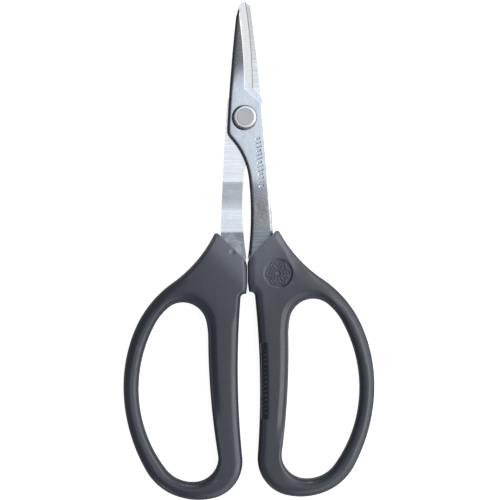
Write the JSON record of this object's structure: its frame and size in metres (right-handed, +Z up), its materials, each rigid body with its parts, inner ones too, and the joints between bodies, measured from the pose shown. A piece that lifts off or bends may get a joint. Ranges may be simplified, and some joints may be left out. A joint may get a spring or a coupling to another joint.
{
  "type": "floral snips",
  "caption": "Slim floral snips: two bypass blades on one pivot bolt, each with a moulded plastic finger loop.",
  "frame": {"origin": "bottom centre of the whole object's box: on the resting plane, midway along length and width, snips shut and lying flat", "axes": "+Y towards the blade tips, +X towards the front blade's handle (right, seen from the bolt-head side), +Z up out of the resting plane, along the pivot bolt to its head"},
  "size_m": [0.0902, 0.1788, 0.011],
  "materials": {
    "blade_steel": "satin hard-chromed steel, finely ground",
    "bolt_steel": "turned and nickel-plated steel, satin",
    "washer_steel": "blackened steel, satin",
    "handle_plastic": "satin dark blue-grey moulded plastic"
  },
  "bodies": {
    "rear_half": {"rear_blade": "blade_steel", "left_handle": "handle_plastic", "pivot_bolt": "bolt_steel", "head_washer": "washer_steel", "spring_washer": "bolt_steel", "pivot_nut": "bolt_steel"},
    "front_half": {"front_blade": "blade_steel", "right_handle": "handle_plastic"}
  },
  "joints": [
    {"name": "blade_pivot", "type": "hinge", "parent": "rear_half", "child": "front_half", "pos_m": [0, 0.04787, 0.0055], "axis": [0, 0, 1], "range_deg": [0, 60]}
  ]
}
